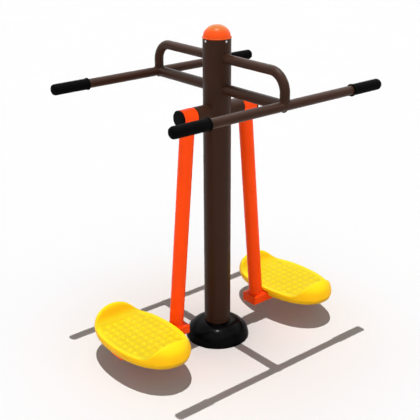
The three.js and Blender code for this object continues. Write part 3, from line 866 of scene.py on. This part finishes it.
def arm_welds():
    way = arm_way()
    top = Vector((arm_top_x, 0, axle_height))
    foot = Vector((arm_foot_x, 0, arm_foot))
    return joined([
        weld(top, way, Y_AXIS, arm_radius, onto_hub),
        weld(foot, way, Y_AXIS, arm_radius, onto_foot_bar),
    ])


def box_ring(inset, rounding, x):
    """A ring round the foot bar's section, inset from its outside."""
    half = foot_bar_half_width - inset
    low, high = foot_bar_low.z + inset, foot_bar_high.z - inset
    corners = [(-half, low), (half, low), (half, high), (-half, high)]
    points = rounded([(y, z, rounding) for y, z in corners])
    return [Vector((x, point.x, point.y)) for point in points]


def foot_bar_shape():
    start, end = foot_bar_low.x, foot_bar_high.x
    inner_rounding = FOOT_BAR_ROUNDING - FOOT_BAR_WALL
    return stitched([
        box_ring(0, FOOT_BAR_ROUNDING, start),
        box_ring(0, FOOT_BAR_ROUNDING, end),
        box_ring(FOOT_BAR_WALL, inner_rounding, end),
        box_ring(FOOT_BAR_WALL, inner_rounding, start),
    ], closed=True)


def end_plate_shape(start, end):
    """A closed plate with the bar's outline and eased edges."""
    middle_height = (foot_bar_low.z + foot_bar_high.z) / 2
    ease = PLATE_ROUNDING
    slight = ease * PLATE_EASE_SHARE
    rings = [
        [Vector((start, 0, middle_height))],
        box_ring(ease, FOOT_BAR_ROUNDING - ease, start),
        box_ring(slight, FOOT_BAR_ROUNDING - slight, start + slight),
        box_ring(0, FOOT_BAR_ROUNDING, start + ease),
        box_ring(0, FOOT_BAR_ROUNDING, end - ease),
        box_ring(slight, FOOT_BAR_ROUNDING - slight, end - slight),
        box_ring(ease, FOOT_BAR_ROUNDING - ease, end),
        [Vector((end, 0, middle_height))],
    ]
    return stitched(rings, closed=False)


# Boards: one moulded shell each, with a studded deck, a raised border and a rolled lip at each end

# Smoothness of the shell, and the levels of its deck and of its widest outline
BOARD_SIDES = 600
DECK_RINGS = 112
EDGE_RINGS = 12
UNDER_RINGS = 30
EDGE_START_SHARE = 0.97
DECK_RISE = 10.7 * MM
DECK_TOP = plate_top + DECK_RISE
WIDEST_DEPTH = 11 * MM
BOARD_WIDEST = DECK_TOP - WIDEST_DEPTH

# Its plan, its dome over the deck, its skirt and its walls. Margins are measured in from the outline, and
# turns are in degrees.
BOARD_EXPONENT = 2.15
DOME_RISE = 127 * MM
SKIRT_DRAFT = 4 * MM
SKIRT_DROP_SHARES = (0.35, 0.7)
SHELL_DEPTH = 6 * MM
SHELL_WALL = 5 * MM
RIM_RISE = 3 * MM
BORDER_INNER_MARGIN = 32 * MM
BORDER_OUTER_MARGIN = 12 * MM
BOTTOM_ROUNDING = 1.5 * MM
OUTER_TURNS = (0, 30, 60, 90)
INNER_TURNS = (90, 45, 0)

# The raised lips at its ends
LIP_FOOT = 159.2 * MM
LIP_FILLET = 38 * MM
LIP_ANGLE = math.radians(68)
LIP_BLEND = 34 * MM
EDGE_BLEND = 13 * MM

# Its studs: columns and rows are counted from the middle one
STUD_PITCH = 35 * MM
STUD_RADIUS = 12 * MM
STUD_FULLNESS = 2.6
STUD_HEIGHT = 6 * MM
STUD_COLUMNS = 3
STUD_ROWS = 4
STUD_MARGIN = 27 * MM

# How far the painted highlight of its raised places reaches
STUD_HIGHLIGHT_RADIUS = 21 * MM
CREST_HIGHLIGHT_START = 12 * MM
CREST_HIGHLIGHT_END = 34 * MM

# The notch that the foot bar enters by, and the bosses on the mounting plate
NOTCH_HALF = 44 * MM
NOTCH_EASE = 3 * MM
NOTCH_ROOM = 4 * MM
NOTCH_TOP = foot_bar_high.z + NOTCH_ROOM
BOSS_RADIUS = 12 * MM
BOSS_SPREAD = 65 * MM


def smooth_step(value, start, end):
    share = min(max((value - start) / (end - start), 0), 1)
    return share * share * (3 - 2 * share)


def smooth_least(one, two, blend):
    """The lesser of two heights, with the corner between them rounded off."""
    near = max(blend - abs(one - two), 0) / blend
    return min(one, two) - near * near * blend / 4


def plan_share(x, y):
    """How far out a place lies in the board's oval plan: 0 at its centre and 1 on its outline."""
    power = abs(x / board_half_width) ** BOARD_EXPONENT + abs(y / board_half_length) ** BOARD_EXPONENT
    return power ** (1 / BOARD_EXPONENT)


def plan_point(share, angle):
    """A place in the board's oval plan, by its share of the way out and its angle."""
    c, s = math.cos(angle), math.sin(angle)
    fuller = (abs(c) ** BOARD_EXPONENT + abs(s) ** BOARD_EXPONENT) ** (-1 / BOARD_EXPONENT)
    return share * fuller * c * board_half_width, share * fuller * s * board_half_length


def inset_share(margin):
    """The share of the way out at which a margin is left, where the board is widest."""
    return 1 - margin / board_half_width


def border_share(x, y):
    """How far up the raised border a place lies: 0 on the deck and 1 on the rim."""
    return smooth_step(plan_share(x, y), inset_share(BORDER_INNER_MARGIN), inset_share(BORDER_OUTER_MARGIN))


def lip_wall_rise(y):
    """How far the inner wall of a lip stands above the deck at a place along the board."""
    past = abs(y) - LIP_FOOT
    if past <= 0:
        return 0.0
    fillet_end = LIP_FILLET * math.sin(LIP_ANGLE)
    if past < fillet_end:
        return LIP_FILLET - math.sqrt(LIP_FILLET ** 2 - past ** 2)
    return LIP_FILLET * (1 - math.cos(LIP_ANGLE)) + (past - fillet_end) * math.tan(LIP_ANGLE)


def from_stud(x, y):
    """How far a place lies from the middle of its stud, or a whole pitch where there is none."""
    column, row = round(x / STUD_PITCH), round(y / STUD_PITCH)
    centre_x, centre_y = column * STUD_PITCH, row * STUD_PITCH
    in_grid = abs(column) <= STUD_COLUMNS and abs(row) <= STUD_ROWS
    if in_grid and plan_share(centre_x, centre_y) <= inset_share(STUD_MARGIN):
        return math.hypot(x - centre_x, y - centre_y)
    return STUD_PITCH


def stud_rise(x, y):
    near = min(from_stud(x, y) / STUD_RADIUS, 1)
    return STUD_HEIGHT * (1 - near ** STUD_FULLNESS) ** 2


def board_top(x, y, share):
    """The board's upper surface without its studs."""
    dome = BOARD_WIDEST + DOME_RISE * math.sqrt(max(1 - min(share, 1) ** 2, 0))
    wall = lip_wall_rise(y)
    blend = EDGE_BLEND + (LIP_BLEND - EDGE_BLEND) * min(wall / LIP_FILLET, 1)
    return smooth_least(DECK_TOP + RIM_RISE * border_share(x, y) + wall, dome, blend)


def board_bottom(x, y):
    """The skirt's lower edge, with a notch where the foot bar enters."""
    if x > 0:
        return board_foot
    open_share = 1 - smooth_step(abs(y), NOTCH_HALF, NOTCH_HALF + NOTCH_EASE)
    return board_foot + (NOTCH_TOP - board_foot) * open_share


def board_rings():
    """Rings of the shell: out over the top, down the skirt, and back in under the deck."""
    angles = [2 * math.pi * step / BOARD_SIDES for step in range(BOARD_SIDES)]

    def ring(share, height):
        places = [plan_point(share, angle) for angle in angles]
        return [Vector((x, y, height(x, y))) for x, y in places]

    def bottom_ring(wall_share, inwards, turn):
        """A ring of the skirt's rounded lower edge. Inwards is 1 from its outside and -1 from its inside."""
        inset = BOTTOM_ROUNDING / board_half_width * (1 - math.cos(math.radians(turn)))
        lift = BOTTOM_ROUNDING * (1 - math.sin(math.radians(turn)))
        return ring(wall_share - inwards * inset, lambda x, y: board_bottom(x, y) + lift)

    rings = [[Vector((0, 0, board_top(0, 0, 0) + stud_rise(0, 0)))]]
    for step in range(1, DECK_RINGS + 1):
        share = EDGE_START_SHARE * step / DECK_RINGS
        rings.append(ring(share, lambda x, y: board_top(x, y, share) + stud_rise(x, y)))
    edge_angle = math.acos(EDGE_START_SHARE)
    for step in range(1, EDGE_RINGS + 1):
        share = math.cos(edge_angle * (1 - step / EDGE_RINGS))
        rings.append(ring(share, lambda x, y: board_top(x, y, share)))
    for drop in SKIRT_DROP_SHARES:
        share = inset_share(SKIRT_DRAFT * drop)
        rings.append(ring(share, lambda x, y: BOARD_WIDEST + (board_bottom(x, y) - BOARD_WIDEST) * drop))
    rings += [bottom_ring(inset_share(SKIRT_DRAFT), 1, turn) for turn in OUTER_TURNS]
    inner_share = inset_share(SKIRT_DRAFT + SHELL_WALL)
    rings += [bottom_ring(inner_share, -1, turn) for turn in INNER_TURNS]
    for step in range(UNDER_RINGS):
        share = inner_share * (1 - step / UNDER_RINGS)
        rings.append(ring(share, lambda x, y: board_top(x, y, share) - SHELL_DEPTH))
    rings.append([Vector((0, 0, DECK_TOP - SHELL_DEPTH))])
    return rings


def board_shape():
    return moved(stitched(board_rings(), closed=False), Matrix.Translation((board_centre, 0, 0)))


def raised_highlight_share(point):
    """How much painted highlight a place on a board gets: 1 on the studs, the border and the lips' crests.
    """
    x, y = point.x - board_centre, point.y
    stud = 1 - smooth_step(from_stud(x, y), 0, STUD_HIGHLIGHT_RADIUS)
    crest = smooth_step(point.z - DECK_TOP, CREST_HIGHLIGHT_START, CREST_HIGHLIGHT_END)
    level = 1 - smooth_step(abs(y), LIP_FOOT - LIP_FILLET / 2, LIP_FOOT + LIP_FILLET / 2)
    return max(stud, border_share(x, y) * level, crest)


def board_bosses():
    """Four screw bosses under the deck, on the mounting plate."""
    boss = turned([
        Vector((0, DECK_TOP - SHELL_DEPTH / 2)),
        Vector((BOSS_RADIUS, DECK_TOP - SHELL_DEPTH / 2)),
        Vector((BOSS_RADIUS, plate_top + GAP)),
        Vector((0, plate_top + GAP)),
    ], TUBE_SIDES)
    places = [(x, y) for x in (-BOSS_SPREAD, BOSS_SPREAD) for y in (-BOSS_SPREAD, BOSS_SPREAD)]
    return joined([moved(boss, Matrix.Translation((board_centre + x, y, 0))) for x, y in places])


for side, placed in (("right", AS_BUILT), ("left", HALF_TURN)):
    swing = f"{side}_swing"
    piece(f"{side}_lip_seal", seal_shape(), "black_rubber", "stand", [f"{side}_seal_ring"], placed)
    piece(f"{side}_hub_tube", hub_shape(), "orange_paint", swing, [f"{side}_hub"], placed)
    piece(f"{side}_hub_cover", hub_cap_shape(), "black_plastic", swing, [f"{side}_hub_cap"], placed)
    piece(f"{side}_arm_tube", arm_shape(), "orange_paint", swing, [f"{side}_arm"], placed)
    piece(f"{side}_arm_welds", arm_welds(), "orange_paint", swing, placed=placed)
    piece(f"{side}_foot_tube", foot_bar_shape(), "orange_paint", swing, [f"{side}_foot_bar"], placed)
    inner_plate = end_plate_shape(inner_plate_low.x, inner_plate_high.x)
    outer_plate = end_plate_shape(outer_plate_low.x, outer_plate_high.x)
    piece(f"{side}_inner_end", inner_plate, "orange_paint", swing, [f"{side}_inner_end_plate"], placed)
    piece(f"{side}_outer_end", outer_plate, "orange_paint", swing, [f"{side}_outer_end_plate"], placed)
    board = board_shape()
    # The mark on each point carries the painted highlight of the studs, the border and the lips' crests
    marks = [raised_highlight_share(point) for point in board[0]]
    piece(f"{side}_deck_board", board, "yellow_plastic", swing, [f"{side}_board"], placed, marks)
    piece(f"{side}_board_bosses", board_bosses(), "yellow_plastic", swing, placed=placed)


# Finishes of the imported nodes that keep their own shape

SIDES = ("right", "left")
TURNED_PARTS = ("housing_plug", "bearing_spacer", "inner_bearing", "outer_bearing")
BOLT_NUMBERS = (1, 2, 3, 4)
ANCHOR_BOLTS = [f"anchor_bolt_{number}" for number in BOLT_NUMBERS]
BOARD_BOLTS = [f"{side}_board_bolt_{number}" for side in SIDES for number in BOLT_NUMBERS]
KEPT_NODES = {
    "brown_paint": ["base_flange"],
    "orange_paint": [f"{side}_board_plate" for side in SIDES],
    "bare_steel": ["axle_shaft"] + [f"{side}_{part}" for side in SIDES for part in TURNED_PARTS],
    "zinc_steel": ANCHOR_BOLTS + [f"{side}_shaft_nut" for side in SIDES] + BOARD_BOLTS,
}
for slot, names in KEPT_NODES.items():
    for name in names:
        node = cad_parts[name]
        node.data.materials.clear()
        node.data.materials.append(FINISHES[slot])


# Camera: the photograph's viewpoint. The lens and the sensor are in millimetres.

CAMERA_PLACE = Vector((-2.17356, -2.57498, 1.95800))
CAMERA_HEADING = math.radians(-39.65)
CAMERA_PITCH = math.radians(22.02)
CAMERA_ROLL = math.radians(-0.31)
CAMERA_LENS = 73.745
CAMERA_SENSOR = 36
CAMERA_REACH = 200


def camera_matrix():
    """The camera's place and turn, from its heading, its pitch downwards and its roll."""
    level = Vector((-math.sin(CAMERA_HEADING), math.cos(CAMERA_HEADING), 0))
    ahead = level * math.cos(CAMERA_PITCH) - Z_AXIS * math.sin(CAMERA_PITCH)
    right = level.cross(Z_AXIS)
    up = right.cross(ahead)
    rolled_right = right * math.cos(CAMERA_ROLL) + up * math.sin(CAMERA_ROLL)
    rolled_up = up * math.cos(CAMERA_ROLL) - right * math.sin(CAMERA_ROLL)
    turn = Matrix((rolled_right, rolled_up, -ahead)).transposed().to_4x4()
    return Matrix.Translation(CAMERA_PLACE) @ turn


camera_data = bpy.data.cameras.new("camera")
camera_data.sensor_width = CAMERA_SENSOR
camera_data.lens = CAMERA_LENS
camera_data.clip_end = CAMERA_REACH
camera = bpy.data.objects.new("camera", camera_data)
scene.collection.objects.link(camera)
camera.matrix_world = camera_matrix()
scene.camera = camera


# Floor: pale, with a painted shadow that makes it a little darker and warmer round the base. Each tone has
# its distance from the column.

FLOOR_HALF = 40
FLOOR_REACH = 1.4
FLOOR_SHADOW_TONES = [
    (0.14, (0.75, 0.71, 0.69)),
    (0.21, (0.80, 0.75, 0.72)),
    (0.29, (0.855, 0.795, 0.765)),
    (0.44, (0.905, 0.865, 0.835)),
    (0.6, (0.94, 0.905, 0.88)),
    (0.75, (0.955, 0.935, 0.93)),
    (0.95, (0.97, 0.97, 0.975)),
    (1.25, (0.985, 0.985, 0.985)),
]
FLOOR_CLOUDS = (1.5, 3)
FLOOR_CLOUD_SHARE = 0.004


def floor_material():
    made, graph, shader = new_material("pale_floor")
    distance = graph.add("VectorMath", {0: graph.add("TexCoord")["Object"]}, operation="LENGTH")["Value"]
    share = graph.add("MapRange", {"Value": distance, "From Max": FLOOR_REACH})["Result"]
    colour = coloured(graph, share, [(place / FLOOR_REACH, tinted(tone)) for place, tone in FLOOR_SHADOW_TONES])
    clouds = noise_at(graph, *FLOOR_CLOUDS)
    graph.feed(shader, {
        "Base Color": clouded(graph, colour, clouds, FLOOR_CLOUD_SHARE),
        "Roughness": 1.0,
        "Specular IOR Level": 0.0,
    })
    return made


def make_floor():
    corners = [Vector((x, y, 0)) * FLOOR_HALF for x, y in ((-1, -1), (1, -1), (1, 1), (-1, 1))]
    mesh = bpy.data.meshes.new("floor")
    mesh.from_pydata(corners, [], [range(len(corners))])
    mesh.materials.append(floor_material())
    floor = bpy.data.objects.new("floor", mesh)
    scene.collection.objects.link(floor)


# Light: a sun straight above, two lamps that only show in the shine, and a pale surround. The surround is
# brightest near the horizon and on the side that the photograph's light leans to.

SUN_STRENGTH = 2.43
SUN_ANGLE = math.radians(0.3)
SUN_PLACE = (0, 0, 5)
HORIZON_LIGHT = 3.42
ZENITH_LIGHT = 0.22
HORIZON_END = 0.28
SURROUND_GREY = (0.8, 0.8, 0.8, 1)
BACKDROP_WHITE = (1, 1, 1, 1)
LIGHT_SIDE = (-0.64, -0.77, 0)
LIGHT_SIDE_SHARE = 0.66
STRIP = {"size": (2.2, 0.4), "power": 18, "place": (0, 0, 4.4), "turn": math.radians(-68)}
PANEL = {"size": (9, 9), "power": 470, "place": (1.2, 1.2, 3.5), "turn": 0}


def make_sun():
    lamp = bpy.data.lights.new("overhead", "SUN")
    lamp.energy = SUN_STRENGTH
    lamp.angle = SUN_ANGLE
    overhead = bpy.data.objects.new("overhead", lamp)
    overhead.location = SUN_PLACE
    scene.collection.objects.link(overhead)


def make_gloss_lamp(name, settings):
    """An overhead lamp that only shows in the shine of the paint and the plastic."""
    lamp = bpy.data.lights.new(name, "AREA")
    lamp.shape = "RECTANGLE"
    lamp.size, lamp.size_y = settings["size"]
    lamp.energy = settings["power"]
    overhead = bpy.data.objects.new(name, lamp)
    overhead.location = settings["place"]
    overhead.rotation_euler = (0, 0, settings["turn"])
    overhead.visible_diffuse = False
    scene.collection.objects.link(overhead)


def surround_strength(graph):
    """The surround's light: it falls off above the horizon and leans to one side."""
    way = graph.add("TexCoord")["Generated"]
    height = graph.add("SeparateXYZ", {"Vector": way})["Z"]
    limits = {"From Max": HORIZON_END, "To Min": HORIZON_LIGHT, "To Max": ZENITH_LIGHT}
    fall = graph.add("MapRange", {"Value": height, **limits}, interpolation_type="SMOOTHSTEP")["Result"]
    lean = {0: way, 1: Vector(LIGHT_SIDE) * LIGHT_SIDE_SHARE}
    aside = graph.add("VectorMath", lean, operation="DOT_PRODUCT")["Value"]
    lobe = graph.add("Math", {0: aside, 1: 1}, operation="ADD")["Value"]
    return graph.add("Math", {0: lobe, 1: fall}, operation="MULTIPLY")["Value"]


def seen_share(graph):
    """1 for a ray that shows the backdrop, straight, in a reflection or through glass, and 0 for light."""
    path = graph.add("LightPath")
    rays = {0: path["Is Camera Ray"], 1: path["Is Glossy Ray"]}
    straight = graph.add("Math", rays, operation="MAXIMUM")["Value"]
    return graph.add("Math", {0: straight, 1: path["Is Transmission Ray"]}, operation="MAXIMUM")["Value"]


def make_world():
    world = bpy.data.worlds.new("surround")
    scene.world = world
    world.use_nodes = True
    graph = Graph(world.node_tree)
    graph.nodes.clear()
    lighting = graph.add("Background", {"Color": SURROUND_GREY, "Strength": surround_strength(graph)})
    backdrop = graph.add("Background", {"Color": BACKDROP_WHITE, "Strength": 1.0})
    layers = {"Fac": seen_share(graph), 1: lighting["Background"], 2: backdrop["Background"]}
    graph.add("OutputWorld", {"Surface": graph.add("MixShader", layers)["Shader"]})


make_floor()
make_sun()
make_gloss_lamp("strip_lamp", STRIP)
make_gloss_lamp("panel_lamp", PANEL)
make_world()
scene.view_settings.view_transform = "Standard"
